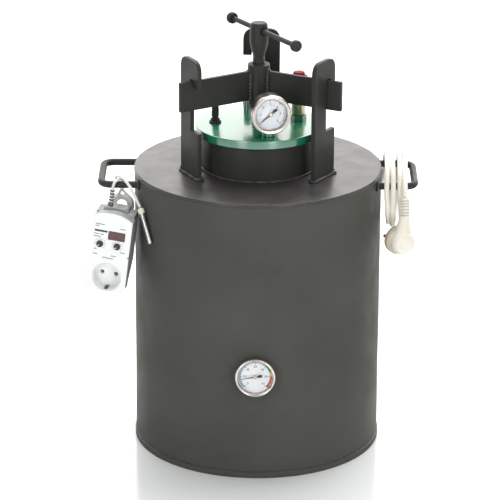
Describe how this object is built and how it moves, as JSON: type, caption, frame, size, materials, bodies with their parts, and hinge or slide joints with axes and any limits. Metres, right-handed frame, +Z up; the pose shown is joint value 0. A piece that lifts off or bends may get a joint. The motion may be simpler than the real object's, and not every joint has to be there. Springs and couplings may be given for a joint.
{
  "type": "pressure canner",
  "caption": "Electric pressure canner: welded steel drum, round lid held down by a three-arm screw clamp, gauge, valves, wall thermometer and plug-in thermostat.",
  "frame": {"origin": "centre of the underside of the round base", "axes": "+Z up along the vessel's axis, -Y to the front with the thermometer, +X to the right handle"},
  "size_m": [0.4433, 0.379, 0.5815],
  "materials": {
    "black_paint": "satin heat-resistant black paint on sheet steel",
    "green_paint": "glossy green enamel",
    "bare_steel": "plain stainless steel",
    "chrome_bezel": "plated instrument case",
    "brass": "machined brass",
    "rubber": "matt black rubber",
    "black_plastic": "matt moulded plastic",
    "white_plastic": "semi-gloss moulded plastic",
    "grey_plastic": "satin moulded plastic",
    "cream_pvc": "satin cream cable sheath",
    "red_plastic": "moulded knob",
    "dial_white": "printed white dial",
    "dial_glass": "clear window",
    "display_maroon": "tinted display filter"
  },
  "bodies": {
    "canner": {"base_plate": "black_paint", "vessel_shell": "black_paint", "top_plate": "black_paint", "mouth_ring": "black_paint", "left_handle": "black_paint", "right_handle": "black_paint", "hook_post_rear": "black_paint", "hook_post_left": "black_paint", "hook_post_right": "black_paint", "lid_plate": "green_paint", "screw_seat": "green_paint", "probe_pocket": "green_paint", "gauge_boss": "green_paint", "valve_base_nut": "green_paint", "thermometer_well": "bare_steel", "valve_spring": "bare_steel", "heater_element": "bare_steel", "jar_rack": "bare_steel", "earth_contact": "bare_steel", "sensor_probe": "bare_steel", "gauge_case": "chrome_bezel", "thermometer_case": "chrome_bezel", "valve_body": "brass", "air_valve_stem": "brass", "heater_flange": "brass", "lid_gasket": "rubber", "valve_disc": "rubber", "terminal_cover": "black_plastic", "cord_gland": "black_plastic", "sensor_relief": "black_plastic", "thermostat_front": "white_plastic", "socket_insert": "white_plastic", "sensor_cord_out": "white_plastic", "sensor_cord_in": "white_plastic", "sensor_coil": "white_plastic", "thermostat_back": "grey_plastic", "mains_cord_lead": "cream_pvc", "mains_coil": "cream_pvc", "mains_cord_drop": "cream_pvc", "plug_body": "cream_pvc", "plug_relief": "cream_pvc", "gauge_dial": "dial_white", "thermometer_dial": "dial_white", "gauge_glass": "dial_glass", "thermometer_glass": "dial_glass", "display_window": "display_maroon"},
    "clamp": {"clamp_hub": "black_paint", "clamp_arm_rear": "black_paint", "clamp_arm_left": "black_paint", "clamp_arm_right": "black_paint"},
    "screw": {"clamp_screw": "black_paint"},
    "tommy": {"tommy_bar": "black_paint", "tommy_knob_front": "black_paint", "tommy_knob_rear": "black_paint"},
    "gauge_pointer": {"gauge_needle": "black_plastic"},
    "thermometer_pointer": {"thermometer_needle": "black_plastic"},
    "relief_knob": {"valve_knob": "red_plastic"},
    "air_cap": {"air_valve_cap": "black_plastic"},
    "left_dial": {"set_knob_left": "black_plastic"},
    "right_dial": {"set_knob_right": "black_plastic"}
  },
  "joints": [
    {"name": "screw_turn", "type": "hinge", "parent": "canner", "child": "screw", "pos_m": [0, 0, 0.55], "axis": [0, 0, 1], "range_deg": [0, 1080]},
    {"name": "clamp_drop", "type": "slide", "parent": "canner", "child": "clamp", "axis": [0, 0, -1], "range_m": [0, 0.012]},
    {"name": "tommy_slide", "type": "slide", "parent": "screw", "child": "tommy", "axis": [0.5299, -0.848, 0], "range_m": [-0.072, 0.049]},
    {"name": "gauge_needle_turn", "type": "hinge", "parent": "canner", "child": "gauge_pointer", "pos_m": [0.0141, -0.0565, 0.4744], "axis": [0.2419, -0.9703, 0], "range_deg": [-264, 6]},
    {"name": "thermometer_needle_turn", "type": "hinge", "parent": "canner", "child": "thermometer_pointer", "pos_m": [-0.002, -0.178, 0.149], "axis": [0, -1, 0], "range_deg": [-235, 35]},
    {"name": "relief_knob_turn", "type": "hinge", "parent": "canner", "child": "relief_knob", "pos_m": [0.0535, 0.014, 0.5], "axis": [0, 0, 1], "range_deg": [0, 90]},
    {"name": "air_cap_turn", "type": "hinge", "parent": "canner", "child": "air_cap", "pos_m": [-0.0575, 0.001, 0.475], "axis": [0, 0, 1], "range_deg": [-45, 1080]},
    {"name": "left_dial_turn", "type": "hinge", "parent": "canner", "child": "left_dial", "pos_m": [-0.20813, -0.09011, 0.30302], "axis": [-0.1736, -0.9848, 0], "range_deg": [-270, 0]},
    {"name": "right_dial_turn", "type": "hinge", "parent": "canner", "child": "right_dial", "pos_m": [-0.18526, -0.09414, 0.30017], "axis": [-0.1736, -0.9848, 0], "range_deg": [-270, 0]}
  ],
  "couplings": [
    {"joint": "clamp_drop", "follows": "screw_turn", "m_per_rad": 0.00063662}
  ]
}
